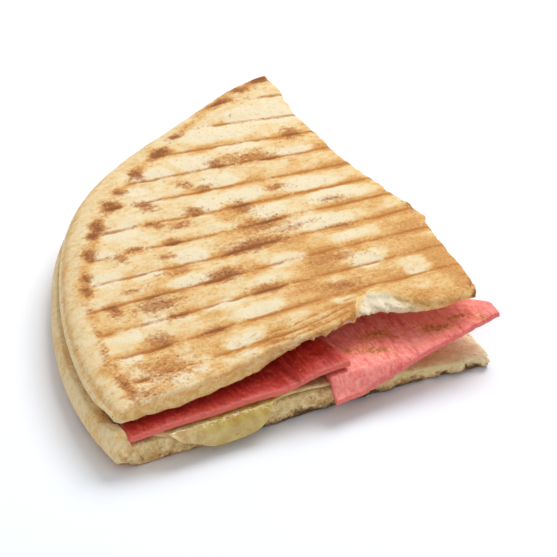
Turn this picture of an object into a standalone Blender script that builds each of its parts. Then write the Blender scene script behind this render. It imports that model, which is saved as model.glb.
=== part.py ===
"""A quarter of a pressed bazlama toast, lying flat: two halves of flat bread with
salami slices and melted cheese between them. Metres, +Z up, the origin under the middle.

The front cut runs along X and the right cut along Y. They meet at the corner, and the
round rim of the bread is at the back left."""

from math import atan2, cos, exp, hypot, pi, radians, sin, sqrt

import bmesh
import bpy
from mathutils import Vector, noise

MM = 0.001

# Plan of the quarter
CORNER = (51.6 * MM, -57.7 * MM)      # where the two cuts meet
CENTRE = (3.1 * MM, 8.7 * MM)         # middle of the whole round bread, from the corner
TOP_RADIUS = 109.5 * MM
BOTTOM_RADIUS = 112.5 * MM
SWELL = (radians(54), radians(17), 4.2 * MM)    # out of round: angle up from the front cut, half width, amount

# Heights above the table
LAYER_GAP = 0.3 * MM                  # air between pieces that touch
BOTTOM_MIDDLE = 4.2 * MM              # top of the lower bread at the middle of the round
BOTTOM_RIM = 8.2 * MM
LIP_HEIGHT = 3.2 * MM                 # the torn edge that stands up round the lower bread
TOP_CROWN = 23.2 * MM                 # highest crust
TOP_SHOULDER = 19.6 * MM              # crust at the rim, before it rolls over
UNDERSIDE_MIDDLE = 20.3 * MM          # lower face of the upper bread
UNDERSIDE_RIM = 14.0 * MM
UNDERSIDE_SAG = 2.5 * MM              # how far it settles on the filling
UNDERSIDE_TUCK = 1.9 * MM             # how far it closes onto the lower bread at the rim
RIM_ROLL = (9.0 * MM, 3.4 * MM)       # width and drop of the rounded rim
FLAT_TIP = (30 * MM, 0.9)             # the roll fades this near the right cut, by this share
TIP_REACH = 1.6 * MM                  # how far the far end of the upper bread sticks out
TIP_CURL = 1.2 * MM

# Grill marks
GROOVE_PITCH = 9.15 * MM
GROOVE_DEPTH = 0.9 * MM
GROOVE_START = 7.26 * MM
GROOVE_SLOPE = -0.045
GROOVE_FAN = -2.0                     # change of slope for each metre from the front

# Filling
SALAMI_THICK = 1.9 * MM
CHEESE_THICK = 1.5 * MM
DRIP_THICK = 2.0 * MM
CHEESE_BACK = (11 * MM, 6 * MM)        # how far it stays back at the corner, in front and at the right
DRIP_BEND = 2.3 * MM                  # bend of the cheese over the bread's edge
DRIP_LOBE = (-73.5 * MM, 10.5 * MM, 9.4 * MM)
DRIP_SMEAR = (-89 * MM, 9 * MM, 2.6 * MM)

# Torn and pressed places along a cut: (distance from the corner, half width, depth).
# The drips above have a length in place of the depth.
TOP_FRONT_BITES = ((-42 * MM, 20 * MM, 8 * MM), (-26 * MM, 8 * MM, 3.6 * MM))
TOP_RIGHT_BITES = ((0, 6 * MM, 1.2 * MM), (40 * MM, 5 * MM, -1.2 * MM), (95 * MM, 12 * MM, 0.5 * MM))
CRUST_TEAR = (-23.5 * MM, 7 * MM, 4 * MM)
CRUST_EAVES = (-44 * MM, 13 * MM, 5.2 * MM)
TOP_RIGHT_STEP = (1.7 * MM, -3.5 * MM, 42 * MM, 40 * MM)    # out, then in, from here, over this
BOTTOM_FACE = 1.4 * MM                # the lower bread's front face, in from the cut line
BOTTOM_CORNER_SPREAD = 2.4 * MM


def ease(t):
    """0 below 0, 1 above 1, and a smooth step between."""
    t = min(max(t, 0.0), 1.0)
    return t * t * (3 - 2 * t)


def bump(t):
    return exp(-t * t)


def lobe(t):
    """A bump with a flat end and steep sides."""
    return exp(-t ** 4)


def wobble(x, y, size, seed):
    return noise.noise(Vector((x / size, y / size, seed)))


def quarter_disc(u, v):
    """The unit square on a quarter disc: u = 0 and v = 0 are the two straight sides."""
    return u * sqrt(1 - v * v / 2), v * sqrt(1 - u * u / 2)


def swell(angle):
    centre, half, amount = SWELL
    return amount * bump((angle - centre) / half)


def reach(angle, radius):
    """From the corner to the round rim, at this angle up from the front cut."""
    radius += swell(angle)
    along = -cos(angle) * CENTRE[0] + sin(angle) * CENTRE[1]
    return along + sqrt(along ** 2 + radius ** 2 - CENTRE[0] ** 2 - CENTRE[1] ** 2)


def plan(u, v, radius):
    """The place in the quarter, from the corner, that u and v stand for."""
    p, q = quarter_disc(1 - (1 - u) ** 1.3, 1 - (1 - v) ** 1.15)
    angle = atan2(q, p)
    out = reach(angle, radius) * hypot(p, q)
    return -out * cos(angle), out * sin(angle)


def from_middle(x, y):
    """Distance from the middle of the round, less the swell, so that the rim is at one radius."""
    r = hypot(x - CENTRE[0], y - CENTRE[1])
    return r - swell(atan2(y, -x)) * ease((r - 70 * MM) / (40 * MM))


def bites(at, places):
    return sum(depth * bump((at - centre) / half) for centre, half, depth in places)


def cut_shift(x, y, front, right):
    """Moves a place near a cut by that cut's own unevenness, fading out inside the bread."""
    fade = 40 * MM
    return (x + right * (1 - ease(-x / fade)), y + front * (1 - ease(y / fade)))


def groove(x, y):
    """Depth of the grill marks: narrow lines a pitch apart, a little fanned out."""
    line = (y - GROOVE_SLOPE * x) / (1 + GROOVE_FAN * x) - GROOVE_START
    return GROOVE_DEPTH * (0.5 + 0.5 * cos(2 * pi * line / GROOVE_PITCH)) ** 3


def rim_roll(x, y, radius):
    """How far the crust has dropped where it rolls over the rim."""
    width, drop = RIM_ROLL
    inside = min(max((radius - from_middle(x, y)) / width, 0.0), 1.0)
    faded = 1 - FLAT_TIP[1] * bump(x / FLAT_TIP[0])
    return faded * drop * (1 - sqrt(1 - (1 - inside) ** 2))


def bottom_crumb(x, y):
    """Top of the lower bread: thin in the middle, thicker out to a torn lip at the rim."""
    r = from_middle(x, y)
    lip = LIP_HEIGHT * ease((r - 103 * MM) / (5 * MM)) * (0.8 + 0.5 * wobble(x, y, 14 * MM, 3))
    lip *= ease((y - 5 * MM) / (9 * MM)) * ease((-x - 5 * MM) / (9 * MM))
    height = BOTTOM_MIDDLE + (BOTTOM_RIM - BOTTOM_MIDDLE) * ease((r - 5 * MM) / (62 * MM))
    return height + lip + 0.25 * MM * wobble(x, y, 21 * MM, 5)


def top_crust(x, y):
    r = from_middle(x, y)
    height = TOP_CROWN - (TOP_CROWN - TOP_SHOULDER) * ease((r - 25 * MM) / (81 * MM))
    height += TIP_CURL * bump(x / (24 * MM)) * ease((y - 98 * MM) / (16 * MM))
    return height + 0.5 * MM * wobble(x, y, 30 * MM, 7)


def top_underside(x, y):
    r = from_middle(x, y)
    height = UNDERSIDE_MIDDLE - (UNDERSIDE_MIDDLE - UNDERSIDE_RIM) * ease((r + 5 * MM) / (95 * MM))
    inside = ease(-x / (30 * MM)) * ease((y - 24 * MM) / (24 * MM))
    tuck = UNDERSIDE_TUCK * ease((r - 95 * MM) / (8 * MM)) * ease((y - 9 * MM) / (9 * MM)) * ease((-x - 9 * MM) / (9 * MM))
    return height - tuck - UNDERSIDE_SAG * inside * bump((r - 50 * MM) / (30 * MM))


def wall_share(w, low_in, high_in, bulge):
    """Radius lost at height w of the rim wall, from its lower edge to its upper edge."""
    return low_in * (1 - w) ** 2 + high_in * w ** 2 - bulge * sin(pi * w)


def top_bread_place(u, v, w):
    radius = TOP_RADIUS - wall_share(w, 2.4 * MM, 1.0 * MM, 0.9 * MM)
    x, y = plan(u, v, radius)
    y += TIP_REACH * bump(x / (26 * MM)) * ease((y - 80 * MM) / (30 * MM))
    front = 4.2 * MM + bites(x, TOP_FRONT_BITES) + 0.8 * MM * wobble(x, w * 9 * MM, 6 * MM, 11)
    torn_at, torn_half, torn_depth = CRUST_TEAR
    front += torn_depth * lobe((x - torn_at) / torn_half) * ease(2 * w - 1) - bites(x, (CRUST_EAVES,)) * w
    out, back, begins, runs = TOP_RIGHT_STEP
    right = out + (back - out) * ease((y - begins) / runs) - bites(y, TOP_RIGHT_BITES)
    right += 0.7 * MM * wobble(w * 9 * MM, y, 7 * MM, 13)
    x, y = cut_shift(x, y, front, right)
    low, high = top_underside(x, y), top_crust(x, y) - groove(x, y) - rim_roll(x, y, radius)
    return x, y, low + (high - low) * w


def bottom_bread_place(u, v, w):
    radius = BOTTOM_RADIUS - wall_share(w, 3.0 * MM, 2.2 * MM, 0.6 * MM)
    x, y = plan(u, v, radius)
    front = BOTTOM_FACE - BOTTOM_CORNER_SPREAD * bump(x / (14 * MM)) + 0.5 * MM * wobble(x, w * 9 * MM, 7 * MM, 17)
    right = 1.8 * MM + 0.4 * MM * wobble(w * 9 * MM, y, 7 * MM, 19)
    x, y = cut_shift(x, y, front, right)
    lift = 2.2 * MM * ease((from_middle(x, y) - 101 * MM) / (9 * MM))
    return x, y, lift + (bottom_crumb(x, y) - lift) * w


def cheese_front(x):
    """How far the melted cheese runs past the front cut."""
    centre, half, length = DRIP_LOBE
    back = CHEESE_BACK[0] * ease((x + 30 * MM) / (18 * MM))
    return -0.8 * MM + length * lobe((x - centre) / half) + bites(x, (DRIP_SMEAR,)) - back


def cheese_right(y):
    back = CHEESE_BACK[1] * (1 - ease((y - 6 * MM) / (14 * MM)))
    spill = 1.6 * MM * bump((y - 70 * MM) / (14 * MM)) - 1.4 * MM * bump((y - 38 * MM) / (12 * MM))
    return -1.2 * MM + spill - back


def bend_over(past, thick, w):
    """A sheet that runs over an edge: how far out and down a layer of it gets."""
    layer = thick * (w - 0.5)
    if past <= 0:
        return past, layer
    turn = min(past / DRIP_BEND, pi / 2)
    hang = max(past - DRIP_BEND * pi / 2, 0)
    return (DRIP_BEND + layer) * sin(turn), (DRIP_BEND + layer) * cos(turn) - DRIP_BEND - hang


def cheese_place(u, v, w):
    """The melted layer on the lower bread, with a lobe that hangs over the front cut."""
    p, q = quarter_disc(u, v ** 1.5)
    angle = atan2(q, p)
    out = reach(angle, 93 * MM) * hypot(p, q) * (1 + 0.025 * sin(7 * angle))
    x, y = -out * cos(angle), out * sin(angle)
    y += (BOTTOM_FACE - cheese_front(x)) * (1 - ease(y / (30 * MM)))
    x += (2.0 * MM + cheese_right(y)) * (1 - ease(-x / (30 * MM)))
    past = BOTTOM_FACE - 0.75 * MM - y
    thick = CHEESE_THICK + (DRIP_THICK - CHEESE_THICK) * ease(past / (4 * MM))
    over, up = bend_over(past, thick, w)
    up += bottom_crumb(min(x, 0), max(y, 0)) + LAYER_GAP + CHEESE_THICK / 2
    return x, (y if past <= 0 else BOTTOM_FACE - 0.75 * MM - over), up


def corner_slice_height(x, y):
    """The slice at the corner curls up there and droops where it sticks out in front."""
    curl = 4.5 * MM * ease((x + 24 * MM) / (36 * MM)) * (1 - ease((y - 3 * MM) / (20 * MM)))
    droop = 4.4 * MM * ease((-0.3 * MM - y) / (4 * MM)) * ease((-x - 14 * MM) / (26 * MM))
    return 11.2 * MM + curl - droop


def front_slice_height(x):
    """This one lies on the cheese and rides up over the corner slice's edge."""
    return 11.5 * MM + 2.4 * MM * ease((x + 60 * MM) / (14 * MM)) - 0.5 * MM * ease((-x - 90 * MM) / (10 * MM))


def slice_layer(w):
    return SALAMI_THICK * (w - 0.5)


def corner_slice_place(u, v, w):
    p, q = quarter_disc(u, v)
    x = 5.5 * MM - 51 * MM * p
    y = 0.3 * MM + 40 * MM * q + 0.105 * (x - 5.5 * MM) * (1 - ease(q / 0.5))
    x -= 6 * MM * ease((y - 5 * MM) / (13 * MM)) * (1 - p)
    ripple = 0.2 * MM * wobble(x, y, 12 * MM, 23)
    return x, y, corner_slice_height(x, y) + ripple + slice_layer(w)


def front_slice_place(u, v, w):
    p, q = quarter_disc(2 * u - 1, v)
    x = -70 * MM + 31.5 * MM * p
    y = 0.2 * MM + 36 * MM * q + 0.5 * MM * wobble(x, 0, 15 * MM, 29) * (1 - q)
    return x, y, front_slice_height(x) + slice_layer(w)


def back_slice_place(u, v, w):
    p, q = quarter_disc(2 * u - 1, v)
    x = -1.5 * MM - 37 * MM * q
    y = 75 * MM - 31 * MM * p
    return x, y, 11.6 * MM + 0.2 * MM * wobble(x, y, 15 * MM, 31) + slice_layer(w)


def food_material(name, colour, roughness):
    material = bpy.data.materials.new(name)
    material.use_nodes = True
    finish = material.node_tree.nodes["Principled BSDF"]
    finish.inputs["Base Color"].default_value = (*colour, 1.0)
    finish.inputs["Roughness"].default_value = roughness
    finish.inputs["Metallic"].default_value = 0.0
    return material


def layer(name, collection, columns, rows, levels, place, material):
    """A closed block: a unit grid thickened upward, with each of its points then put in its place."""
    mesh = bmesh.new()
    bmesh.ops.create_grid(mesh, x_segments=columns, y_segments=rows, size=0.5)
    bmesh.ops.translate(mesh, verts=mesh.verts, vec=(0.5, 0.5, 0))
    grown = bmesh.ops.extrude_face_region(mesh, geom=list(mesh.faces))["geom"]
    risen = [item for item in grown if isinstance(item, bmesh.types.BMVert)]
    bmesh.ops.translate(mesh, verts=risen, vec=(0, 0, 1))
    for step in range(1, levels):
        everything = mesh.verts[:] + mesh.edges[:] + mesh.faces[:]
        bmesh.ops.bisect_plane(mesh, geom=everything, plane_co=(0, 0, step / levels), plane_no=(0, 0, 1))
    for vertex in mesh.verts:
        x, y, z = place(*vertex.co)
        vertex.co = (CORNER[0] + x, CORNER[1] + y, z)
    mesh.normal_update()
    bmesh.ops.recalc_face_normals(mesh, faces=mesh.faces)
    data = bpy.data.meshes.new(name)
    mesh.to_mesh(data)
    mesh.free()
    data.materials.append(material)
    data.shade_smooth()
    data.set_sharp_from_angle(angle=0.8)
    made = bpy.data.objects.new(name, data)
    collection.objects.link(made)
    return made


def clear_scene():
    for old in list(bpy.data.objects):
        bpy.data.objects.remove(old)


def build():
    clear_scene()
    toast = bpy.data.collections.new("bazlama_toast_quarter")
    bpy.context.scene.collection.children.link(toast)
    bread = food_material("pressed_flat_bread", (0.82, 0.64, 0.38), 0.8)
    salami = food_material("beef_salami", (0.72, 0.13, 0.13), 0.45)
    cheese = food_material("melted_kashar", (0.80, 0.66, 0.25), 0.35)
    layer("bottom_bread", toast, 20, 24, 2, bottom_bread_place, bread)
    layer("cheese", toast, 30, 20, 1, cheese_place, cheese)
    layer("salami_corner", toast, 13, 12, 1, corner_slice_place, salami)
    layer("salami_front", toast, 15, 8, 1, front_slice_place, salami)
    layer("salami_back", toast, 15, 8, 1, back_slice_place, salami)
    layer("top_bread", toast, 28, 54, 3, top_bread_place, bread)


build()
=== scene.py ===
from itertools import product
from math import cos, radians, sin

import bmesh
import bpy
import numpy as np
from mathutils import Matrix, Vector


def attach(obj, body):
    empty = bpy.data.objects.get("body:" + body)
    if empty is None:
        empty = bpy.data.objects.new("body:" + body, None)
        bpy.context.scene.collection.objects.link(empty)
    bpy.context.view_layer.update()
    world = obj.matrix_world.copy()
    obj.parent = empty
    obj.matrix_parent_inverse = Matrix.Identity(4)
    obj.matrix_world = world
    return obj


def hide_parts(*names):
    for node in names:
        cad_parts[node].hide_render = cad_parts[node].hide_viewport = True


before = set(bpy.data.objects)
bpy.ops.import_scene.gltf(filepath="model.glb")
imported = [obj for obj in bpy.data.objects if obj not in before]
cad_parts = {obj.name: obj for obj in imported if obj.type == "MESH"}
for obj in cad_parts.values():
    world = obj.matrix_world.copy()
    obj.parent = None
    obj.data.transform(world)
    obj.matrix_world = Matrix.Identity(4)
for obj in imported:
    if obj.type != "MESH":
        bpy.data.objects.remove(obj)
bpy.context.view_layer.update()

# The shapes below are worked out in millimetres from the corner where the two cuts meet.
# x is negative along the front cut, y is positive along the right cut.
mm = 0.001
toast = {
    "corner": (51.6, -57.7),      # the corner in the row frame
    "middle": (3.1, 8.7),         # middle of the whole round bread, from the corner
    "topRadius": 109.5,
    "bottomRadius": 112.5,
    "swell": (54, 17, 4.2),       # out of round: degrees from the front cut, half width, amount
    "gap": 0.3,                   # air between layers
}


# small maths shared by every layer
def ease(t):
    t = np.clip(t, 0, 1)
    return t * t * (3 - 2 * t)


def bump(t):
    return np.exp(-t * t)


def lobe(t):    # a bump with a flat end and steep sides
    return np.exp(-t ** 4)


dice = np.random.default_rng(11)
shuffled = np.tile(dice.permutation(256), 4)
slopes = dice.normal(size=(256, 3))
slopes /= np.linalg.norm(slopes, axis=1)[:, None]


def softNoise(x, y, z, size):    # smooth noise, about -1 to 1
    spot = np.stack(np.broadcast_arrays(x / size, y / size, z / size), -1)
    cell = np.floor(spot).astype(int)
    part = spot - cell
    fade = part ** 3 * (part * (part * 6 - 15) + 10)
    total = 0
    for step in product((0, 1), repeat=3):
        at = (cell + step) & 255
        slope = slopes[shuffled[shuffled[shuffled[at[..., 0]] + at[..., 1]] + at[..., 2]]]
        share = np.prod(np.where(np.array(step) == 1, fade, 1 - fade), axis=-1)
        total = total + share * np.sum(slope * (part - step), axis=-1)
    return total * 1.7    # raw gradient noise stays within about 0.6


# each layer is half the size of the last, and weaker
def layeredNoise(x, y, z, size, layers=3):
    return sum(softNoise(x, y, z + 9.1 * n, size / 2 ** n) / 1.8 ** n for n in range(layers))


def quarterDisc(u, v):    # the unit square on a quarter disc
    return u * np.sqrt(1 - v * v / 2), v * np.sqrt(1 - u * u / 2)


def swell(angle):
    centre, half, amount = toast["swell"]
    return amount * bump((angle - radians(centre)) / radians(half))


def fromMiddle(x, y):    # the swell is taken off, so the rim is at one radius all round
    r = np.hypot(x - toast["middle"][0], y - toast["middle"][1])
    return r - swell(np.arctan2(y, -x)) * ease((r - 70) / 40)


def reach(angle, radius):    # corner to rim
    radius = radius + swell(angle)
    cx, cy = toast["middle"]
    along = -np.cos(angle) * cx + np.sin(angle) * cy
    return along + np.sqrt(along ** 2 + radius ** 2 - cx ** 2 - cy ** 2)


def quarterPlan(u, v, radius, spread=(1.3, 1.15)):
    p, q = quarterDisc(1 - (1 - u) ** spread[0], 1 - (1 - v) ** spread[1])
    angle = np.arctan2(q, p)
    out = reach(angle, radius) * np.hypot(p, q)
    return -out * np.cos(angle), out * np.sin(angle)


def bites(at, places):
    return sum(depth * bump((at - centre) / half) for centre, half, depth in places)


# a closed cube: fine sheets below and above, and walls of a few levels
def unitBlock(columns, rows, levels):
    across = columns + 1
    count = across * (rows + 1)
    v, u = np.divmod(np.arange(count), across)
    border = np.concatenate((
        np.arange(columns), columns + across * np.arange(rows),
        count - 1 - np.arange(columns), across * (rows - np.arange(rows))))
    sheet = np.stack((u / columns, v / rows), -1)
    heights = np.arange(1, levels) / levels
    points = np.concatenate((
        np.column_stack((sheet, np.zeros(count))),
        np.column_stack((sheet, np.ones(count))),
        np.column_stack((np.tile(sheet[border], (levels - 1, 1)), np.repeat(heights, len(border))))))

    first = np.arange(count)[(u < columns) & (v < rows)]
    quads = np.stack((first, first + 1, first + across + 1, first + across), -1)
    between = 2 * count + np.arange((levels - 1) * len(border)).reshape(levels - 1, -1)
    rings = np.vstack((border, between, border + count))
    nextRings = np.roll(rings, -1, axis=1)
    walls = np.stack((rings[:-1], nextRings[:-1], nextRings[1:], rings[1:]), -1).reshape(-1, 4)
    return points, np.concatenate((quads[:, ::-1], quads + count, walls))


# a closed block of fine mesh, bent into place point by point
def layBlock(name, node, columns, rows, levels, place, material):
    points, faces = unitBlock(columns, rows, levels)
    (x, y, z), marks = place(*points.T)
    cx, cy = toast["corner"]
    placed = np.stack((x + cx, y + cy, z), -1) * mm
    data = bpy.data.meshes.new(name)
    data.from_pydata(placed.tolist(), [], faces.tolist())
    for markName, value in marks.items():
        mark = data.attributes.new(markName, "FLOAT", "POINT")
        mark.data.foreach_set("value", np.broadcast_to(value, x.shape).astype(np.float32))

    # some layers are mirrored on the way, so the normals are turned outwards
    closed = bmesh.new()
    closed.from_mesh(data)
    closed.normal_update()
    bmesh.ops.recalc_face_normals(closed, faces=closed.faces)
    closed.to_mesh(data)
    closed.free()
    data.shade_smooth()
    data.materials.append(material)
    piece = bpy.data.objects.new(name, data)
    bpy.context.scene.collection.objects.link(piece)
    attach(piece, "root")
    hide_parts(node)
    print(name, len(data.polygons), "faces")


# node helpers for the materials
class Finish:
    def __init__(self, name, **sockets):
        self.material = bpy.data.materials.new(name)
        self.material.use_nodes = True
        self.nodes = self.material.node_tree.nodes
        self.links = self.material.node_tree.links
        self.shader = self.nodes["Principled BSDF"]
        for socket, value in sockets.items():
            self.shader.inputs[socket.replace("_", " ")].default_value = value
        self.place = self.add("ShaderNodeTexCoord").outputs["Object"]

    def add(self, kind, **settings):
        node = self.nodes.new(kind)
        for name, value in settings.items():
            setattr(node, name, value)
        return node

    def feed(self, socket, value):
        if isinstance(value, bpy.types.NodeSocket):
            self.links.new(value, socket)
        elif isinstance(value, tuple) and len(value) == 3 and socket.type == "RGBA":
            socket.default_value = (*value, 1)
        else:
            socket.default_value = value

    def mark(self, name):    # a value that the mesh carries at each point
        return self.add("ShaderNodeAttribute", attribute_name=name).outputs["Fac"]

    # size in mm, twist in radians
    def noise(self, size, detail=4.0, roughness=0.55, stretch=None, twist=0.0):
        where = self.place
        if stretch:
            turned = self.add("ShaderNodeMapping")
            self.feed(turned.inputs["Vector"], where)
            turned.inputs["Rotation"].default_value = (0, 0, twist)
            turned.inputs["Scale"].default_value = stretch
            where = turned.outputs["Vector"]
        node = self.add("ShaderNodeTexNoise")
        self.feed(node.inputs["Vector"], where)
        node.inputs["Scale"].default_value = 1 / (size * mm)
        node.inputs["Detail"].default_value = detail
        node.inputs["Roughness"].default_value = roughness
        return node.outputs["Fac"]

    def sums(self, kind, a, b, c=None):
        node = self.add("ShaderNodeMath", operation=kind)
        self.feed(node.inputs[0], a)
        self.feed(node.inputs[1], b)
        if c is not None:
            self.feed(node.inputs[2], c)
        return node.outputs[0]

    def step(self, value, low, high):    # 0 below low, 1 above high
        node = self.add("ShaderNodeMapRange", interpolation_type="SMOOTHSTEP")
        self.feed(node.inputs["Value"], value)
        node.inputs["From Min"].default_value = low
        node.inputs["From Max"].default_value = high
        return node.outputs["Result"]

    def blend(self, share, a, b):    # a where share is 0, b where it is 1
        node = self.add("ShaderNodeMix", data_type="RGBA")    # its colours are sockets 6 and 7, and 2
        self.feed(node.inputs[0], share)
        self.feed(node.inputs[6], a)
        self.feed(node.inputs[7], b)
        return node.outputs[2]

    def relief(self, *heights):    # pairs of height and depth in mm
        normal = None
        for height, depth in heights:
            node = self.add("ShaderNodeBump")
            node.inputs["Distance"].default_value = depth * mm
            self.feed(node.inputs["Height"], height)
            if normal:
                self.feed(node.inputs["Normal"], normal)
            normal = node.outputs["Normal"]
        self.feed(self.shader.inputs["Normal"], normal)


def linear(value):    # one part of a screen colour, 0 to 255, as the linear value a shader takes
    if value > 10:
        return ((value / 255 + 0.055) / 1.055) ** 2.4
    return value / 255 / 12.92


def colour(red, green, blue):
    return linear(red), linear(green), linear(blue)


# bread finish: crust, grill marks, scorched spots and open crumb
breadColours = {
    "window": colour(241, 225, 190),
    "pale": colour(239, 215, 168),
    "cream": colour(235, 201, 142),
    "golden": colour(230, 178, 102),
    "tan": colour(206, 142, 70),
    "grain": colour(182, 114, 56),
    "line": colour(186, 114, 42),
    "seared": colour(132, 74, 30),
    "blotch": colour(186, 118, 62),
    "crumb": colour(247, 213, 148),
    "crumbShade": colour(228, 179, 104),
    "pore": colour(204, 160, 106),
    "white": colour(246, 236, 208),
    "cheesy": colour(232, 212, 150),
    "charred": colour(66, 46, 24),
}
# the lower bread is in shade, so its crumb is deeper
lowerColours = {
    **breadColours,
    "crumb": colour(246, 218, 162),
    "crumbShade": colour(206, 162, 98),
    "pore": colour(158, 110, 60),
    "seared": colour(120, 74, 32),
    "charred": colour(64, 40, 14),
}


# noise sizes in mm, from broad patches to single pores
breadGrain = {
    "broad": 9,
    "patchy": 2.6,
    "pores": 1.3,
    "fine": 0.9,
    "grain": 0.8,
    "slant": 0.16,                # the patches lie along the grill lines, in radians
}


def breadFinish(name, tint):
    bread = Finish(name, Roughness=0.72, Subsurface_Weight=0.12, Subsurface_Scale=0.004)
    bread.shader.inputs["Subsurface Radius"].default_value = (1.0, 0.6, 0.3)
    bread.shader.inputs["Specular IOR Level"].default_value = 0.3
    markNames = ("gold", "line", "blotch", "crumb", "charAndShade")
    gold, line, blotch, crumb, charAndShade = (bread.mark(markName) for markName in markNames)
    slant = breadGrain["slant"]
    broad = bread.noise(breadGrain["broad"], 3, stretch=(1, 2.2, 1), twist=slant)
    patchy = bread.noise(breadGrain["patchy"], 5, 0.65, stretch=(1, 1.7, 1), twist=slant)
    fine = bread.noise(breadGrain["fine"], 4, 0.72)
    grain = bread.noise(breadGrain["grain"], 5, 0.75)
    pores = bread.noise(breadGrain["pores"], 3, 0.6)

    def rough(value, fineShare, patchShare, broadShare=0.0):    # a soft mark broken up by the noises
        for part, share in ((fine, fineShare), (patchy, patchShare), (broad, broadShare)):
            if share:
                value = bread.sums("MULTIPLY_ADD", bread.sums("SUBTRACT", part, 0.5), share, value)
        return value

    def times(a, b):
        return bread.sums("MULTIPLY", a, b)

    def cover(base, share, most, tone):
        return bread.blend(times(share, most), base, tone)

    def nearLine(turns, wide, thin):    # 1 on a line, 0 further from it than wide, in turns
        wander = bread.sums("MULTIPLY_ADD", bread.sums("SUBTRACT", patchy, 0.5), 0.09, bread.mark(turns))
        return bread.step(bread.sums("PINGPONG", wander, 0.5), wide, thin)

    # pale crust that turns golden, then tan, in soft patches and beside the grill lines
    base = bread.blend(bread.step(patchy, 0.35, 0.7), tint["pale"], tint["cream"])
    untouched = bread.step(rough(gold, 0.5, 1.0), 0.0, -0.75)
    base = cover(base, untouched, 0.85, tint["window"])
    halo = times(nearLine("turn", 0.3, 0.04), line)
    mottle = rough(bread.sums("MULTIPLY_ADD", halo, 0.7, gold), 0.6, 1.1, 0.9)
    base = cover(base, bread.step(mottle, 0.0, 0.9), 0.9, tint["golden"])
    base = cover(base, bread.step(mottle, 0.7, 1.4), 0.75, tint["tan"])
    base = cover(base, bread.step(fine, 0.54, 0.68), 0.45, tint["golden"])
    base = cover(base, bread.step(fine, 0.46, 0.34), 0.35, tint["pale"])
    dotted = times(bread.step(grain, 0.49, 0.62), bread.step(mottle, 0.15, 1.0))
    base = cover(base, dotted, 0.6, tint["grain"])
    # blotches
    spot = rough(blotch, 1.7, 1.4)
    base = cover(base, bread.step(spot, 0.2, 0.85), 0.8, tint["blotch"])
    cores = bread.sums("MULTIPLY_ADD", bread.sums("SUBTRACT", grain, 0.5), 3.2, spot)
    base = cover(base, bread.step(cores, 0.75, 1.35), 0.8, tint["seared"])
    # grill lines
    broken = rough(line, 1.6, 1.3)
    drawn = times(nearLine("turn", 0.1, 0.015), bread.step(broken, 0.05, 0.9))
    base = cover(base, drawn, 0.9, tint["line"])
    darker = bread.step(bread.sums("MULTIPLY_ADD", blotch, 1.2, times(broken, 0.65)), 0.75, 1.5)
    base = cover(base, times(nearLine("turn", 0.11, 0.01), darker), 0.85, tint["seared"])
    # wrinkles along the front edge, with painted shade in their creases
    inCrease = nearLine("crease", 0.3, 0.05)
    creased = bread.step(rough(bread.mark("creased"), 1.2, 1.8), 0.25, 1.0)
    base = cover(base, times(inCrease, creased), 0.8, tint["line"])
    # cut and torn faces show the crumb
    cloudy = bread.step(bread.noise(2.2, 4, 0.7), 0.36, 0.64)
    inside = bread.blend(cloudy, tint["crumbShade"], tint["crumb"])
    inside = cover(inside, bread.step(crumb, 1.0, 1.5), 0.8, tint["white"])
    # pores are painted darker, as shade in the crumb's holes
    holes = times(bread.step(pores, 0.43, 0.32), bread.step(crumb, 0.78, 1.0))
    inside = bread.blend(times(holes, 0.65), inside, tint["pore"])
    base = bread.blend(bread.step(crumb, 0.3, 0.7), base, inside)
    # cheese that has soaked in
    greasy = bread.step(rough(bread.mark("soaked"), 0.8, 2.0), 0.25, 1.0)
    base = cover(base, greasy, 0.7, tint["cheesy"])
    # charred line and specks, and on the lower bread also painted shade, darker towards the bottom of
    # the cut faces
    burnt = rough(charAndShade, 2.2, 1.2)
    base = cover(base, bread.step(burnt, 0.3, 0.7), 0.6, tint["seared"])
    base = cover(base, bread.step(burnt, 0.7, 1.1), 0.8, tint["charred"])
    bread.feed(bread.shader.inputs["Base Color"], base)
    bread.feed(bread.shader.inputs["Roughness"], bread.sums("MULTIPLY_ADD", patchy, 0.25, 0.55))
    bread.relief((patchy, 0.3), (fine, 0.22), (pores, 0.12))
    return bread.material


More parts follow.
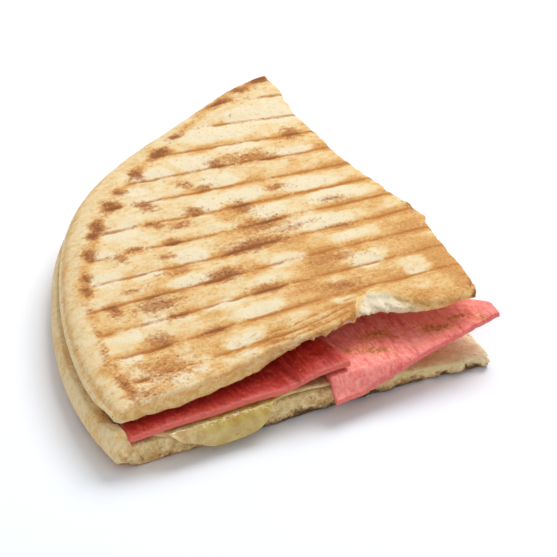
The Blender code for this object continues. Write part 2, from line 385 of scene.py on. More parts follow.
topBread = {
    "crown": 23.2,                # heights of the crust in the middle and near the rim
    "shoulder": 19.6,
    "undersideMiddle": 20.3,
    "undersideRim": 14.0,
    "sag": 2.5,
    "tuck": 1.9,
    "rimRoll": (9.0, 3.4),        # the rim rolls down over this width, by this
    "flatTip": (30, 0.9),         # the roll fades this near the right cut, by this share
    "tipReach": 1.6,
    "tipCurl": 1.2,
    "linePitch": 9.15,
    "lineStart": 7.26,
    "lineSlope": -0.045,
    "lineFan": -0.002,
    "frontBites": ((-42, 20, 8.0), (-26, 8, 3.6)),    # place, half width, depth
    "rightBites": ((0, 6, 1.2), (40, 5, -1.2), (95, 12, 0.5)),
    "rightStep": (1.7, -3.5, 42, 40),    # out, then in, from here, over this
    "tear": (-23.5, 7, 4.0),
    "eaves": ((-44, 13, 5.2),),
    "groove": (0.42, 0.19, 0.95),    # depth of the dip, depth of the line in it, its half width
    "wrinkle": (0.3, 2.1),        # depth and spacing of the wrinkles along the front edge
    "cutPressed": (0.7, 0.9),     # the cut edges go down by this, over this
    "knobs": (3.2, 1.1, 0.9),     # size, and how far they stick out and hang down
    "ring": (102.2, 1.9),         # radius and half width of the ring of dark spots
    "scorched": ((45, 4, 0.75), (6, 9, 0.6), (88, 9, 0.4)),    # along the right cut
    # dark places: x, y, half length along the lines, half width, strength
    "blotches": (
        (-88, 13, 12, 8, 0.66), (-96, 6, 6, 3, 0.8), (-76, 39, 7, 4.2, 1.0),
        (-87, 42, 2.5, 3.2, 1.25), (-55, 42, 6, 3.2, 1.15), (-42, 50, 9, 3.4, 1.2),
        (-36, 57, 9, 4.5, 0.8), (-37, 67, 4, 4.5, 0.9), (-49, 72, 3, 2.2, 1.1),
        (-45, 84, 3, 2, 0.9), (-41, 81, 3, 2, 0.8), (-33.5, 89, 3, 2.4, 1.1),
        (-24.5, 87, 9, 3.5, 0.8), (-9.5, 92, 3, 3.5, 0.9), (-25, 71, 4, 1.8, 0.9),
        (-70, 64, 5, 2, 0.9), (-76, 62, 3, 2.4, 0.9), (-59, 79, 3, 2.4, 1.0), (-61, 71, 3, 2, 0.8),
        (-55, 68, 4, 2, 1.05), (-48, 31, 6, 2.6, 0.7), (-26, 34, 8, 3.5, 0.75),
        (-68, 21, 4, 2, 0.9), (-82, 25, 4, 3, 0.95), (-30, 52, 8, 2.2, 0.7), (-18, 46, 4, 1.3, 0.9),
        (-14, 58, 5, 1.4, 0.8), (-66, 50, 6, 2, 0.6), (-6, 118, 4, 2.4, 1.2),
        (-13, 116, 4, 1.8, 0.9), (-21, 113.5, 5, 1.8, 1.0), (-30, 22, 8, 3, 0.8),
        (-54.5, 94.8, 2.6, 2.8, 1.0), (-62.5, 89.2, 2.4, 2.4, 0.8), (-67, 84.7, 2.6, 2.6, 1.05),
        (-74, 78, 2.2, 2.4, 0.9), (-77.5, 75.6, 2, 2, 0.75), (-81.7, 67.9, 2.6, 3, 0.95),
        (-87.2, 59.2, 2, 2.4, 0.75), (-89.4, 54.2, 2, 2.4, 0.75), (-44, 101, 3, 1.9, 1.0),
        (-37.7, 105.6, 2.4, 1.6, 1.0), (-59.2, 81.3, 2.8, 2.2, 1.2), (-58.7, 62, 3, 1.6, 1.0),
        (-73, 32, 3.5, 1.7, 1.0), (-64, 57, 3, 1.5, 0.8), (-78, 48, 5, 1.4, 0.8),
        (-56, 9, 4, 1.6, 0.5),
    ),
    # places that stay pale: the same numbers
    "paleSpots": (
        (-9, 20.8, 3.8, 4.2, 1.3), (-19, 29.5, 5.2, 4.2, 1.3), (-21.5, 50, 10, 3.4, 1.3),
        (-12.5, 59.7, 9.5, 3.4, 1.3), (-15.5, 68.3, 9, 3, 1.2), (-31.5, 62, 5.5, 3.4, 1.2),
        (-17, 40.8, 6, 2.6, 1.2), (-44, 72.6, 3.6, 3.2, 1.1), (-35, 72.4, 7, 2.8, 1.2),
        (-36, 81.5, 6, 2.6, 1.1), (-39, 92.5, 6, 3.2, 1.1), (-29, 102, 13, 3.6, 1.1),
        (-58.5, 54, 5.5, 3.4, 1.2), (-63.5, 44.5, 7, 3, 1.1), (-37, 39.6, 6, 3, 1.1),
        (-54, 23.5, 8, 2.6, 1.1), (-63, 13.7, 6, 2.6, 1.1), (-46, 34, 6, 2.4, 0.8),
        (-72, 30, 4, 2.6, 0.8), (-60, 30, 7, 2.2, 0.8), (-14, 104, 9, 4, 1.1), (-83, 56, 5, 3, 1.0),
        (-70, 73, 5, 3, 1.0), (-52, 93, 8, 3, 1.0), (-80, 33, 4, 2.4, 0.9), (-92, 22, 4, 3, 0.8),
        (-12, 84, 5, 2.4, 0.9), (-24, 93, 7, 2.6, 0.9), (-33, 16.2, 3.4, 2.2, 1.1),
        (-88, 30, 4, 3, 0.8), (-71, 52, 5, 2.6, 0.8), (-79, 66, 4, 2.6, 0.7),
        (-60, 88, 5, 2.4, 0.8), (-46, 62, 5, 2.4, 0.6), (-78, 9, 3, 1.8, 1.0),
        (-84, 7.5, 3, 1.6, 0.9), (-65, 8, 3.5, 1.8, 1.0), (-71, 7.5, 2, 1.4, 0.8),
        (-62, 100, 3, 2, 0.6),
    ),
}


def lineAcross(x, y):    # grill lines counted from the front, and mm to the nearest one
    row = (y - topBread["lineSlope"] * x) / (1 + topBread["lineFan"] * x)
    row = row - topBread["lineStart"] + 0.35 * softNoise(x, y, 4.0, 22)
    turns = row / topBread["linePitch"]
    return turns, (turns - np.round(turns)) * topBread["linePitch"]


# soft ovals, along the grill lines if no slope is given
def spots(x, y, places, leaning=None, power=2):
    total = np.zeros_like(x)
    wavyX = x + 1.2 * softNoise(x, y, 7.0, 5)
    wavyY = y + 1.0 * softNoise(x, y, 3.0, 5)
    for sx, sy, long, wide, strength in places:
        slope = leaning if leaning is not None else topBread["lineSlope"] + topBread["lineFan"] * sy
        dx = wavyX - sx
        dy = wavyY - sy - slope * dx
        spread = np.abs(dx / long) ** power + np.abs(dy / wide) ** power
        total = np.maximum(total, strength * np.exp(-spread))
    return total


def topCrust(x, y):
    r = fromMiddle(x, y)
    fall = topBread["crown"] - topBread["shoulder"]
    height = topBread["crown"] - fall * ease((r - 25) / 81)
    height = height + topBread["tipCurl"] * bump(x / 24) * ease((y - 98) / 16)
    return height + 0.35 * softNoise(x, y, 7, 30)


def topUnderside(x, y):
    r = fromMiddle(x, y)
    fall = topBread["undersideMiddle"] - topBread["undersideRim"]
    height = topBread["undersideMiddle"] - fall * ease((r + 5) / 95)
    tuck = topBread["tuck"] * ease((r - 95) / 8) * ease((y - 9) / 9) * ease((-x - 9) / 9)
    inside = ease(-x / 30) * ease((y - 24) / 24)
    arch = 0.8 * bump((x + 70) / 13) * bump((y - 4) / 7)
    return height - tuck - topBread["sag"] * inside * bump((r - 50) / 30) + arch


def topBreadPlace(u, v, w):
    lost = 2.4 * (1 - w) ** 2 + 1.0 * w ** 2 - 0.9 * np.sin(np.pi * w)
    radius = toast["topRadius"] - lost
    x, y = quarterPlan(u, v, radius)
    y = y + topBread["tipReach"] * bump(x / 26) * ease((y - 80) / 30)
    at, half, depth = topBread["tear"]
    torn = depth * lobe((x - at) / half * 0.9) ** 2 * ease(2 * w - 1)
    ragged = 0.8 * layeredNoise(x, 2.0, 31.0, 5) + 0.6 * layeredNoise(x, 6 * w, 41.0, 2.2, 2)
    ragged = ragged * ease((w - 0.4) / 0.4) * lobe((x + 34) / 42)
    front = 4.2 + bites(x, topBread["frontBites"]) + torn + ragged - bites(x, topBread["eaves"]) * w
    out, back, begins, runs = topBread["rightStep"]
    right = out + (back - out) * ease((y - begins) / runs) - bites(y, topBread["rightBites"])
    front = front + 0.6 * softNoise(x, 9 * w, 11, 6)
    right = right + 0.5 * softNoise(9 * w, y, 13, 7)
    chipped = 0.3 * layeredNoise(4.0, y, 33.0, 9) + 0.15 * layeredNoise(6 * w, y, 43.0, 2.4, 2)
    chipped = chipped - 0.8 * bump((y - 46) / 2.2) - 0.5 * bump((y - 39) / 1.6)
    right = right - chipped * ease((w - 0.4) / 0.4)
    # how deep inside the bread each point is, before the cuts are moved
    depthFront, depthRight = y, -x
    x = x + right * (1 - ease(-x / 40))
    y = y + front * (1 - ease(y / 40))
    r = fromMiddle(x, y)

    # the crust from above: pillows between narrow lines
    turns, away = lineAcross(x, y)
    strength = 0.8 + 0.55 * softNoise(x, y, 17.0, 12) + 0.5 * softNoise(x, y, 27.0, 5)
    strength = np.clip(strength, 0.15, 1.2) * (1 - 0.75 * ease((r - 99) / 5)) * ease((y - 7) / 5)
    pillow = 0.5 - 0.5 * np.cos(2 * np.pi * away / topBread["linePitch"])
    pressed = 1 - 0.8 * bump(x / 6)    # the marks are shallower at the right cut
    dip, scored, scoredHalf = topBread["groove"]
    marked = dip * (1 - pillow) ** 2 * np.clip(strength, 0.3, 1)
    marked = marked + scored * strength * bump(away / scoredHalf)
    crust = topCrust(x, y) - pressed * marked
    crust += 0.16 * layeredNoise(x, y, 1.0, 5) + 0.09 * layeredNoise(x, y, 2.0, 1.6, 2)
    # wrinkles pressed along the front edge
    alongFront = bump((x + 44) / 22) * bump((depthFront - 4) / 5)
    creaseDepth, spacing = topBread["wrinkle"]
    creases = (y - 0.12 * x + 1.5 * softNoise(x, y, 5, 11)) / spacing
    crust -= creaseDepth * alongFront * np.cos(2 * np.pi * creases)
    width, drop = topBread["rimRoll"]
    roll = 1 - np.clip((radius - r) / width, 0, 1)
    tipWidth, tipShare = topBread["flatTip"]
    crust -= (1 - tipShare * bump(x / tipWidth)) * drop * (1 - np.sqrt(1 - roll ** 2))
    # the cut edges are pressed round
    edge = np.minimum(depthFront, depthRight + 0.4)
    sunk, fading = topBread["cutPressed"]
    crust -= sunk * np.exp(-edge / fading)
    low = topUnderside(x, y) + 0.25 * layeredNoise(x, y, 8, 4)
    z = low + (crust - low) * w

    # torn crumb on the two cut faces, deepest in the tear
    wall = np.clip(4 * w * (1 - w), 0, 1) ** 0.5
    onFront, onRight = np.exp(-depthFront / 0.8), np.exp(-depthRight / 0.8)
    shreds = 1 + 0.9 * bump((x + 22) / 9)
    lumps = 0.75 * layeredNoise(x, 3.0, z, 3.2) + 0.35 * layeredNoise(x, 5.0, z, 1.2, 2)
    lumps = lumps * (1 - 0.55 * ease((-x - 62) / 10))
    y = y - onFront * shreds * lumps * (0.35 + 0.65 * wall)
    inTear = onFront * bump((x + 24) / 10)
    tufts = 0.8 * layeredNoise(x, 8.0, w, 2.6, 2) + 0.5 * layeredNoise(x, 11.0, 7 * w, 1.3, 2) * wall
    z = z + inTear * tufts
    y = y - inTear * wall * (0.7 * layeredNoise(x, 14.0, 6 * w, 1.5, 3) + 0.35)
    # little knobs along the crust's lip
    knobSize, knobOut, knobDown = topBread["knobs"]
    knobs = ease(layeredNoise(x, 1.0, 61.0, knobSize, 2) / 0.6) * lobe((x + 44) / 30) * onFront
    y = y - knobOut * knobs * bump((w - 0.62) / 0.28)
    z = z - knobDown * knobs * bump((w - 0.6) / 0.3)
    rightLumps = 0.5 * layeredNoise(6.0, y, z, 3.0) + 0.3 * layeredNoise(9.0, y, z, 1.2, 2)
    x = x + onRight * rightLumps * (0.35 + 0.65 * wall)
    # at the left the crumb sits back under the crust
    y = y + onFront * 0.9 * bump((w - 0.45) / 0.3) * ease((-x - 60) / 10)

    # where crust and crumb show
    onSide = ease((r - radius + 2.6) / 2)
    tornDepth = 3.4 * bump((x + 23) / 8) + 1.8 * softNoise(x, y, 2, 4) - 0.6
    tornAway = ease((tornDepth - depthFront) / 0.7) * bump((x + 23) / 10)
    # crust that comes down over the edge
    wrapped = 0.45 * lobe((x + 50) / 20) + 0.85 * lobe((x - 4) / 18)
    wrapped = wrapped * (1 + 0.5 * softNoise(x, 4, 51, 4)) * onFront
    onCrust = ease((w - 0.87 + wrapped) / 0.05)
    crumb = np.maximum((1 - ease((w - 0.84 + wrapped) / 0.1)) * (1 - onSide), tornAway)
    crumb = crumb * (1 - 0.24 * ease((-x - 60) / 8)) + 0.6 * bump((x + 26) / 9) * onFront

    # how brown the crust is
    spotted = spots(x, y, topBread["blotches"])
    pale = ease((spots(x, y, topBread["paleSpots"], power=2.6) - 0.1) / 0.9)
    angle = np.arctan2(y, -x)
    ringMiddle, ringHalf = topBread["ring"]
    ringRadius = ringMiddle - 2.4 * bump((angle - radians(55)) / radians(12))
    ringRadius = ringRadius + 7 * ease((angle - radians(64)) / radians(22))
    ring = bump((r - ringRadius - 0.8 * softNoise(x, y, 2, 9)) / ringHalf)
    ring = ring * (0.95 + 0.8 * softNoise(x, y, 8, 5))
    rightBand = bump((depthRight - 1) / 7) * (0.75 + 0.3 * softNoise(x, y, 4, 10))
    frontBand = bump((x + 46) / 26) * bump((depthFront - 3) / 9)
    gold = 0.38 + 0.5 * softNoise(x, y, 3, 15) + 0.6 * softNoise(x, 1.6 * y, 9, 6)
    gold = gold + 0.55 * ease((x + 62) / 45) * ease((58 - y) / 40)    # browner near the corner
    gold = gold + 0.55 * bump((x + 86) / 13) * bump((y - 15) / 9)
    gold = gold + 0.4 * rightBand + 0.2 * frontBand + 0.6 * spotted
    gold = gold - 1.5 * pale - 0.45 * ease((r - 74) / 18)
    rimGold = 0.18 + 0.34 * ease((r - 106) / 2.5) + 0.3 * softNoise(x, y, 0.5 * z, 9)
    withinRing = 1 - ease((r - ringRadius - 2.5) / 4)
    gold = rimGold + (gold - rimGold) * withinRing + 0.8 * np.clip(ring, 0, 1)
    scorched = bump((depthRight - 0.3) / 1.4) * bites(y, topBread["scorched"])
    line = np.clip(strength * (1 - 0.3 * np.clip(pale, 0, 1)), 0, 1.3) * onCrust
    marks = {
        "gold": np.clip(gold, -0.8, 1.4) * onCrust,
        "turn": turns,
        "line": line * (1 - ease((r - ringRadius + 1) / 3)),
        "crease": creases,
        "creased": alongFront * onCrust,
        "blotch": np.clip(spotted + 0.6 * np.clip(ring - 0.3, 0, 1), 0, 1.3) * onCrust,
        "crumb": np.clip(crumb, 0, 1.6),
        "charAndShade": scorched * onCrust,
        "soaked": 0.0,
    }
    return (x, y, z), marks


bottomBread = {
    "middle": 4.2,                # heights of the crumb, and of the torn lip on its rim
    "rim": 8.2,
    "lip": 3.2,
    "face": 1.4,                  # how far back the front cut is
    "cornerSpread": 2.4,
    "curl": (101, 9, 2.2),        # the underside rises from this radius, over this, by this
    "flap": (105.6, 6.0, 7),      # torn bit at the left end: from this radius, height, length
    "soaked": ((-56, 6, 0.7), (-33, 8, 0.8), (-96, 5, 0.6)),    # x, half width, amount
}


def bottomCrumb(x, y):
    r = fromMiddle(x, y)
    torn = 0.8 + 0.25 * softNoise(x, y, 3, 14) + 0.16 * layeredNoise(x, y, 5, 4)
    lip = bottomBread["lip"] * ease((r - 103) / 5) * torn
    lip = lip * ease((y - 5) / 9) * ease((-x - 5) / 9)
    begins, rise, length = bottomBread["flap"]
    flap = rise * ease((r - begins) / 1.6) * (1 - ease((y - 5) / length)) * ease(-x / 50) * torn
    height = bottomBread["middle"] + (bottomBread["rim"] - bottomBread["middle"]) * ease((r - 5) / 62)
    return height + lip + flap


def bottomBreadPlace(u, v, w):
    lost = 3.0 * (1 - w) ** 2 + 2.2 * w ** 2 - 0.6 * np.sin(np.pi * w)
    radius = toast["bottomRadius"] - lost
    x, y = quarterPlan(u, v, radius)
    front = bottomBread["face"] - bottomBread["cornerSpread"] * bump(x / 14)
    front = front + 0.3 * softNoise(x, 9 * w, 17, 7)
    right = 1.8 + 0.25 * softNoise(9 * w, y, 19, 7)
    depthFront, depthRight = y, -x
    x = x + right * (1 - ease(-x / 40))
    y = y + front * (1 - ease(y / 40))
    r = fromMiddle(x, y)
    curlFrom, curlOver, curlRise = bottomBread["curl"]
    lift = curlRise * ease((r - curlFrom) / curlOver)
    lumpy = 0.12 + 0.3 * bump(x / 18) * bump(y / 11)
    edge = np.minimum(depthFront, depthRight)
    top = bottomCrumb(x, y) + lumpy * layeredNoise(x, y, 1, 3) - 0.5 * np.exp(-edge / 0.8)
    z = lift + (top - lift) * w
    wall = np.clip(4 * w * (1 - w), 0, 1) ** 0.5
    onFront, onRight = np.exp(-depthFront / 0.8), np.exp(-depthRight / 0.8)
    shreds = 1 + 0.9 * bump(x / 12)
    frontLumps = 0.8 * layeredNoise(x, 3.0, z, 3.6) + 0.35 * layeredNoise(x, 5.0, z, 1.3, 2)
    y = y - onFront * wall * shreds * frontLumps
    rightLumps = 0.4 * layeredNoise(6.0, y, z, 3.2) + 0.3 * layeredNoise(9.0, y, z, 1.3, 2)
    x = x + onRight * wall * shreds * rightLumps
    # the lower edge is uneven and turns under
    uneven = 0.35 + 0.45 * softNoise(x, 1.0, 81.0, 6) + 0.2 * softNoise(x, 1.0, 83.0, 1.8)
    z = z + onFront * (1 - w) * uneven
    y = y + onFront * 0.9 * np.clip(1 - w / 0.3, 0, 1) ** 2

    # toasted underside, charred lower edge, and crumb with brown specks and painted shade
    turns = lineAcross(x, y)[0]
    under = 1 - ease((w - 0.02) / 0.05)
    side = ease((r - radius + 3) / 2)
    charHeight = 0.26 + 0.2 * bump((x + 14) / 22) * onFront
    charred = bump(w / charHeight) * (onFront + onRight) * (0.95 + 0.8 * softNoise(x, y, 6, 4))
    along = 1 - 0.7 * ease((-x - 70) / 10) + 0.35 * bump((x + 36) / 20)
    charred = charred * (along + 0.35 * bump((x + 11) / 14) * onFront)
    mottled = 0.55 + 0.9 * softNoise(x, y, z, 1.8) + 0.7 * softNoise(x, y, z, 7)
    # brown specks and painted shade, darker towards the bottom of the front and right faces
    specksAndShade = 0.5 * bump(w / 0.5) * (onFront + onRight) * mottled
    # painted shade along the front face, darker at the left end and near x = -40, and painted light near
    # the corner
    shaded = 0.08 * ease((-x - 66) / 20) - 0.3 * bump((x + 4) / 16) + 0.14 * bump((x + 40) / 18)
    specksAndShade = specksAndShade + shaded * onFront
    specksAndShade = specksAndShade + 0.25 * bump((r - 100) / 3.5) * ease((w - 0.7) / 0.2) * (0.6 + softNoise(x, y, 5, 6))
    specksAndShade = specksAndShade * (1 - 0.5 * ease((-x - 74) / 8) * onFront)
    flecks = 0.9 * np.clip(softNoise(x, y, 91, 1.6) - 0.2, 0, 1)
    flecks = flecks * bump((x + 6) / 22) * ease((w - 0.5) / 0.3)
    lip = ease((r - 103) / 3) * ease((w - 0.5) / 0.3)
    # painted light: the crumb near the corner is whitened where the salami shades it
    cornerPaintedLight = 0.3 * bump(x / 22) * ease((w - 0.4) / 0.3)
    dripping = bites(x, bottomBread["soaked"]) * onFront * ease((w - 0.25) / 0.3)
    dripping = dripping + 0.95 * bump((x + 15) / 19) * bump((y - 1) / 8) * ease((w - 0.45) / 0.3)
    gold = under * (0.5 + 0.4 * softNoise(x, y, 3, 12))
    gold = gold + np.maximum(side, lip) * (0.22 + 0.4 * softNoise(x, y, z, 7))
    marks = {
        "gold": gold,
        "turn": turns,
        "line": under * 0.9,
        "blotch": under * np.clip(0.3 + 0.9 * softNoise(x, y, 21, 9), 0, 1.2),
        "crumb": ease((w - 0.06) / 0.06) * (1 - 0.8 * side) * (1 - 0.75 * lip) + cornerPaintedLight,
        "charAndShade": np.clip(charred + specksAndShade + flecks, 0, 1.2),
        "soaked": np.clip(dripping, 0, 1),
    }
    return (x, y, np.clip(z, 0, None)), marks


cheese = {
    "thick": 1.5,
    "dripThick": 2.0,
    "bend": 2.3,                  # radius it bends over the edge with
    "radius": 93,
    "lobe": (-73.5, 11, 8.6),     # where it hangs over the front cut, half width, length
    "smear": ((-89, 7, 4.8),),
    "back": (11, 6),              # how far it stays back at the corner, in front and at the right
}


def cheesePlace(u, v, w):
    p, q = quarterDisc(u, v ** 1.5)
    angle = np.arctan2(q, p)
    wavy = 1 + 0.025 * np.sin(7 * angle) + 0.07 * bump(angle / 0.12)
    out = reach(angle, cheese["radius"]) * np.hypot(p, q) * wavy
    x, y = -out * np.cos(angle), out * np.sin(angle)
    # how far it runs out of the front cut and of the right cut
    at, half, length = cheese["lobe"]
    hang = -0.8 + length * lobe((x - at) / half) + bites(x, cheese["smear"])
    hang = hang + 0.5 * softNoise(x, 2, 5, 6)
    spill = -1.2 + 1.6 * bump((y - 70) / 14) - 1.4 * bump((y - 38) / 12) + 0.5 * softNoise(2, y, 5, 6)
    hang = hang - cheese["back"][0] * ease((x + 30) / 18) - 2.0 * ease((-x - 90) / 5)
    spill = spill - cheese["back"][1] * (1 - ease((y - 6) / 14))
    y = y + (bottomBread["face"] - hang) * (1 - ease(y / 30))
    x = x + (2.0 + spill) * (1 - ease(-x / 30))
    # past the edge of the bread it bends over and hangs straight down
    start = bottomBread["face"] - 0.75
    past = start - y
    thick = cheese["thick"] + (cheese["dripThick"] - cheese["thick"]) * ease(past / 4)
    tip = np.exp(-v * 40) * ease(past / 3)
    layer = thick * (w - 0.5) * (1 + 0.35 * softNoise(x, y, 1, 7)) * (1 + 0.25 * tip)
    turn = np.clip(past / cheese["bend"], 0, np.pi / 2)
    drop = np.clip(past - cheese["bend"] * np.pi / 2, 0, None)
    over = (cheese["bend"] + layer) * np.sin(turn)
    bent = (cheese["bend"] + layer) * np.cos(turn) - cheese["bend"] - drop
    crumbHeight = bottomCrumb(np.minimum(x, 0), np.maximum(y, 0))
    up = np.where(past > 0, bent, layer) + crumbHeight + toast["gap"] + cheese["thick"] / 2
    y = np.where(past > 0, start - over, y)
    rounded = np.sqrt(np.clip(1 - (2 * w - 1) ** 2, 0, 1))
    y = y - 0.6 * rounded * np.exp(-v * 60) * (past <= 0.5)
    up = up - 0.7 * rounded * np.exp(-v * 60) * (past > 3)
    x = x + 0.6 * rounded * np.exp(-u * 60)
    creamyAndPaintedLight = np.maximum(ease((x + 60) / 12), 0.8 * ease((-x - 80) / 10)) * (1 - ease((y - 14) / 14))
    # painted light: the cheese is made paler along the right cut, where the crust shades it
    creamyAndPaintedLight = creamyAndPaintedLight + 0.4 * ease((y - 14) / 14) * ease((x + 40) / 20)    # paler along the right cut
    return (x, y, up), {"creamyAndPaintedLight": creamyAndPaintedLight, "flowed": bump((past - 5) / 2.5)}


cheeseColours = {
    "yellow": colour(184, 144, 48),
    "paleYellow": colour(212, 185, 100),
    "flowed": colour(216, 194, 128),
    "oily": colour(167, 132, 46),
    "beige": colour(204, 168, 112),
    "cream": colour(232, 204, 154),
}


def cheeseFinish(tint):
    melted = Finish("meltedKashar", Roughness=0.2, Subsurface_Weight=0.35, Subsurface_Scale=0.003)
    melted.shader.inputs["Subsurface Radius"].default_value = (1.0, 0.75, 0.3)
    melted.shader.inputs["Coat Weight"].default_value = 0.4
    melted.shader.inputs["Coat Roughness"].default_value = 0.12
    cloudy = melted.noise(4, 3)
    base = melted.blend(melted.step(cloudy, 0.34, 0.66), tint["yellow"], tint["paleYellow"])
    base = melted.blend(melted.sums("MULTIPLY", melted.mark("flowed"), 0.35), base, tint["flowed"])
    oily = melted.noise(2.0, 3, 0.6)
    base = melted.blend(melted.step(oily, 0.58, 0.74), base, tint["oily"])
    soaking = melted.blend(melted.step(oily, 0.38, 0.62), tint["beige"], tint["cream"])
    # soaked-in cream tone, and painted light along the right cut
    base = melted.blend(melted.sums("MULTIPLY", melted.mark("creamyAndPaintedLight"), 0.9), base, soaking)
    melted.feed(melted.shader.inputs["Base Color"], base)
    melted.relief((cloudy, 0.9), (oily, 0.15))
    return melted.material


salami = {
    "thick": 1.9,
    "corner": {"right": 5.5, "long": 51, "deep": 40, "height": 11.2, "curl": 4.5, "droop": 4.4},
    # toasted streaks on the corner slice: x, y, half length, half width, strength
    "toasted": (
        (-26, 11, 6, 2.3, 1.1), (-11, 5.2, 5.5, 2.4, 1.1), (-29.5, 5, 6.5, 2.2, 1.1),
        (-4, 5, 4.5, 1.8, 1.0), (0.5, 1, 3, 1.6, 1.0), (-18, 9, 3, 1.2, 0.7), (-35, 8, 3, 1.5, 0.8),
        (-20, 2, 3, 1.2, 0.5),
    ),
    "front": {"at": (-71.2, 0.2), "long": 32.4, "deep": 36, "height": 11.5, "climb": 2.4, "dip": 0.5},
    "back": {"at": (-1.5, 75), "long": 31, "deep": 37, "height": 11.6},
}


def cornerSliceHeight(x, y):
    cut = salami["corner"]
    curl = cut["curl"] * ease((x + 24) / 36) * (1 - ease((y - 3) / 20))
    droop = cut["droop"] * ease((-0.3 - y) / 4) * ease((-x - 14) / 26)
    return cut["height"] + curl - droop


def frontSliceHeight(x):
    cut = salami["front"]
    return cut["height"] + cut["climb"] * ease((x + 60) / 14) - cut["dip"] * ease((-x - 90) / 10)


def foldAcross(x, y):    # a crease where the front slice bends up
    return bump((x + 54 + 0.15 * y + 0.5 * softNoise(x, y, 71, 6)) / 0.6)


def sliceSkin(x, y, w, edge):    # thickness, rounded edge and the fine ripples of the surface
    ripple = 0.07 * np.sin((x * 0.8 + y * 0.6) * 2.6 + 2 * softNoise(x, y, 2, 8))
    ripple = ripple + 0.1 * layeredNoise(x, y, 4, 3, 2)
    thin = 1 - 0.35 * np.exp(-edge / 0.5)
    return salami["thick"] * (w - 0.5) * thin + ripple + 0.25 * softNoise(x, y, 23, 14)


def cornerSlicePlace(u, v, w):
    cut = salami["corner"]
    p, q = quarterDisc(u, v)
    x = cut["right"] - cut["long"] * p
    y = 0.3 + cut["deep"] * q + 0.105 * (x - cut["right"]) * (1 - ease(q / 0.5))
    x = x - 6 * ease((y - 5) / 13) * (1 - p)
    edge = np.minimum(np.minimum(u, 1 - u) * cut["long"], np.minimum(v, 1 - v) * cut["deep"])
    y = y - 0.25 * layeredNoise(x, 3, w, 3) * np.exp(-v * 30)
    z = cornerSliceHeight(x, y) + sliceSkin(x, y, w, edge)
    return (x, y, z), {"edge": np.exp(-edge / 0.8), "toasted": spots(x, y, salami["toasted"], -0.35)}


def frontSlicePlace(u, v, w):
    cut = salami["front"]
    p, q = quarterDisc(2 * u - 1, v)
    x = cut["at"][0] + cut["long"] * p
    y = cut["at"][1] + cut["deep"] * q + 0.3 * softNoise(x, 0, 29, 15) * (1 - q)
    edge = np.minimum(np.minimum(u, 1 - u) * 2 * cut["long"], np.minimum(v, 1 - v) * cut["deep"])
    z = frontSliceHeight(x) + sliceSkin(x, y, w, edge) - 0.5 * foldAcross(x, y) * w
    # the fold mark paints shade into the crease
    return (x, y, z), {"edge": np.exp(-edge / 0.8), "foldShade": foldAcross(x, y)}


def backSlicePlace(u, v, w):
    cut = salami["back"]
    p, q = quarterDisc(2 * u - 1, v)
    x = cut["at"][0] - cut["deep"] * q
    y = cut["at"][1] - cut["long"] * p
    edge = np.minimum(np.minimum(u, 1 - u) * 2 * cut["long"], np.minimum(v, 1 - v) * cut["deep"])
    return (x, y, cut["height"] + sliceSkin(x, y, w, edge)), {"edge": np.exp(-edge / 0.8)}


# the corner slice lies in the light, the other two are in the shade of the bread
sunnyColours = {
    "deep": colour(198, 56, 54),
    "dark": colour(246, 110, 100),
    "light": colour(255, 160, 146),
    "rib": colour(255, 182, 166),
    "cutEdge": colour(214, 86, 80),
    "nick": colour(184, 46, 46),
    "toasted": colour(226, 136, 76),
    "singed": colour(160, 84, 44),
}
shadedColours = {
    **sunnyColours,
    "deep": colour(136, 14, 14),
    "dark": colour(168, 24, 20),
    "light": colour(200, 48, 38),
    "rib": colour(222, 90, 74),
    "cutEdge": colour(236, 122, 102),
}


def salamiFinish(name, tint):
    meat = Finish(name, Roughness=0.5, Subsurface_Weight=0.25, Subsurface_Scale=0.002)
    meat.shader.inputs["Subsurface Radius"].default_value = (1.0, 0.35, 0.25)
    meat.shader.inputs["Coat Weight"].default_value = 0.06
    meat.shader.inputs["Coat Roughness"].default_value = 0.35
    ground = meat.noise(1.3, 5, 0.7)
    soft = meat.noise(11, 2)
    # ribs drawn out along y
    ribs = meat.noise(0.95, 3, 0.6, stretch=(1, 0.12, 1), twist=0.15)

    def cover(base, share, most, tone):
        return meat.blend(meat.sums("MULTIPLY", share, most), base, tone)

    base = meat.blend(meat.step(ground, 0.3, 0.7), tint["dark"], tint["light"])
    base = cover(base, meat.step(ribs, 0.5, 0.72), 0.5, tint["rib"])
    base = cover(base, meat.step(ribs, 0.5, 0.34), 0.55, tint["deep"])
    base = cover(base, meat.step(soft, 0.45, 0.7), 0.35, tint["light"])
    # specks where the toaster touched it, then small nicks
    scratch = meat.noise(0.9, 3, 0.65, stretch=(1, 0.75, 1), twist=0.7)
    speck = meat.sums("MULTIPLY_ADD", meat.sums("SUBTRACT", scratch, 0.5), 3.4, meat.mark("toasted"))
    base = cover(base, meat.step(speck, 0.35, 0.8), 0.75, tint["toasted"])
    base = cover(base, meat.step(speck, 0.7, 1.2), 0.75, tint["singed"])
    nicks = meat.step(meat.noise(2.2, 4, 0.6, stretch=(1, 0.3, 1), twist=0.3), 0.56, 0.74)
    base = cover(base, nicks, 0.5, tint["nick"])
    # painted shade in the crease where the front slice bends up
    base = cover(base, meat.mark("foldShade"), 0.55, tint["deep"])
    base = cover(base, meat.mark("edge"), 0.6, tint["cutEdge"])
    meat.feed(meat.shader.inputs["Base Color"], base)
    meat.relief((ribs, 0.24), (ground, 0.18), (meat.noise(3.2, 2), 0.3))
    return meat.material


# put the layers together
crustFinish = breadFinish("toastedBazlama", breadColours)
lowerFinish = breadFinish("lowerBazlama", lowerColours)
# lit and shaded copies of one salami: the colours paint light on the corner slice and shade on the other
# two
sunnyMeat = salamiFinish("beefSalami", sunnyColours)
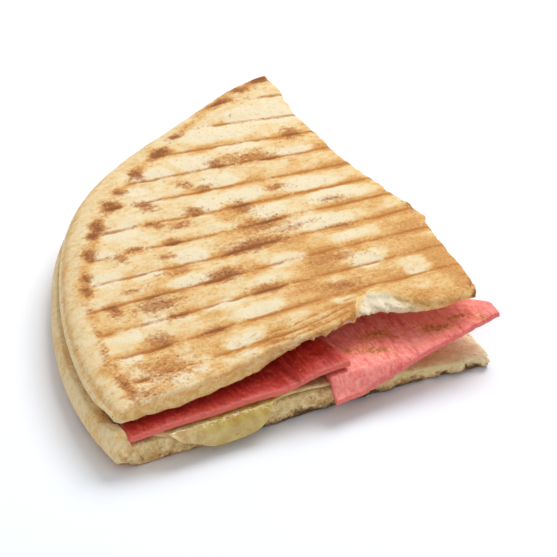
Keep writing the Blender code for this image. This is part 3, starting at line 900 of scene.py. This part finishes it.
# the shaded copy paints the bread's shade onto the front and back slices
shadedMeat = salamiFinish("beefSalamiShaded", shadedColours)
kashar = cheeseFinish(cheeseColours)
print("finishes are mixed")
layBlock("topBread", "top_bread", 205, 215, 12, topBreadPlace, crustFinish)
layBlock("bottomBread", "bottom_bread", 180, 160, 12, bottomBreadPlace, lowerFinish)
layBlock("meltedCheese", "cheese", 150, 110, 5, cheesePlace, kashar)
layBlock("cornerSlice", "salami_corner", 110, 90, 4, cornerSlicePlace, sunnyMeat)
layBlock("frontSlice", "salami_front", 120, 80, 4, frontSlicePlace, shadedMeat)
layBlock("backSlice", "salami_back", 100, 70, 4, backSlicePlace, shadedMeat)
print("layers are in place")

# floor, light and camera
studio = {
    "azimuth": -27,
    "elevation": 36.5,
    "distance": 4.0,
    "target": (0.0165, -0.0085, 0.0085),
    "across": 0.148,         # metres across the picture at the target
    "skyStrength": 0.58,
    "keyLamp": ((0.8, 0.45, 1.5), 12.0, 0.9),       # direction, watts, metres across
    "fillLamp": ((-0.5, -0.9, 0.9), 1.0, 1.2),
    "lampDistance": 1.3,
}

floorMesh = bmesh.new()
bmesh.ops.create_grid(floorMesh, x_segments=1, y_segments=1, size=3)
floorData = bpy.data.meshes.new("studioFloor")
floorMesh.to_mesh(floorData)
floorMesh.free()
studioFloor = bpy.data.objects.new("studioFloor", floorData)
bpy.context.scene.collection.objects.link(studioFloor)
floorPaint = Finish("paleFloor", Roughness=0.9)
floorPaint.shader.inputs["Base Color"].default_value = (0.93, 0.945, 0.98, 1)
floorPaint.shader.inputs["Specular IOR Level"].default_value = 0.1
floorData.materials.append(floorPaint.material)


def softLamp(name):
    direction, power, size = studio[name]
    lamp = bpy.data.lights.new(name, "AREA")
    lamp.shape = "DISK"
    lamp.size = size
    lamp.energy = power
    holder = bpy.data.objects.new(name, lamp)
    bpy.context.scene.collection.objects.link(holder)
    away = Vector(direction).normalized()
    holder.location = away * studio["lampDistance"]
    holder.rotation_euler = away.to_track_quat("Z", "Y").to_euler()


softLamp("keyLamp")
softLamp("fillLamp")

world = bpy.data.worlds.new("studioWorld")
world.use_nodes = True
sky = world.node_tree.nodes["Background"]
sky.inputs["Color"].default_value = (0.92, 0.96, 1, 1)
sky.inputs["Strength"].default_value = studio["skyStrength"]
scene = bpy.context.scene
scene.world = world
scene.view_settings.view_transform = "Standard"

turn, tilt = radians(studio["azimuth"]), radians(studio["elevation"])
towards = Vector((sin(turn) * cos(tilt), -cos(turn) * cos(tilt), sin(tilt)))
lens = bpy.data.cameras.new("photoCamera")
lens.lens = lens.sensor_width * studio["distance"] / studio["across"]
lens.clip_end = 20
camera = bpy.data.objects.new("photoCamera", lens)
camera.location = Vector(studio["target"]) + towards * studio["distance"]
camera.rotation_euler = towards.to_track_quat("Z", "Y").to_euler()
scene.collection.objects.link(camera)
scene.camera = camera
print("studio is set")
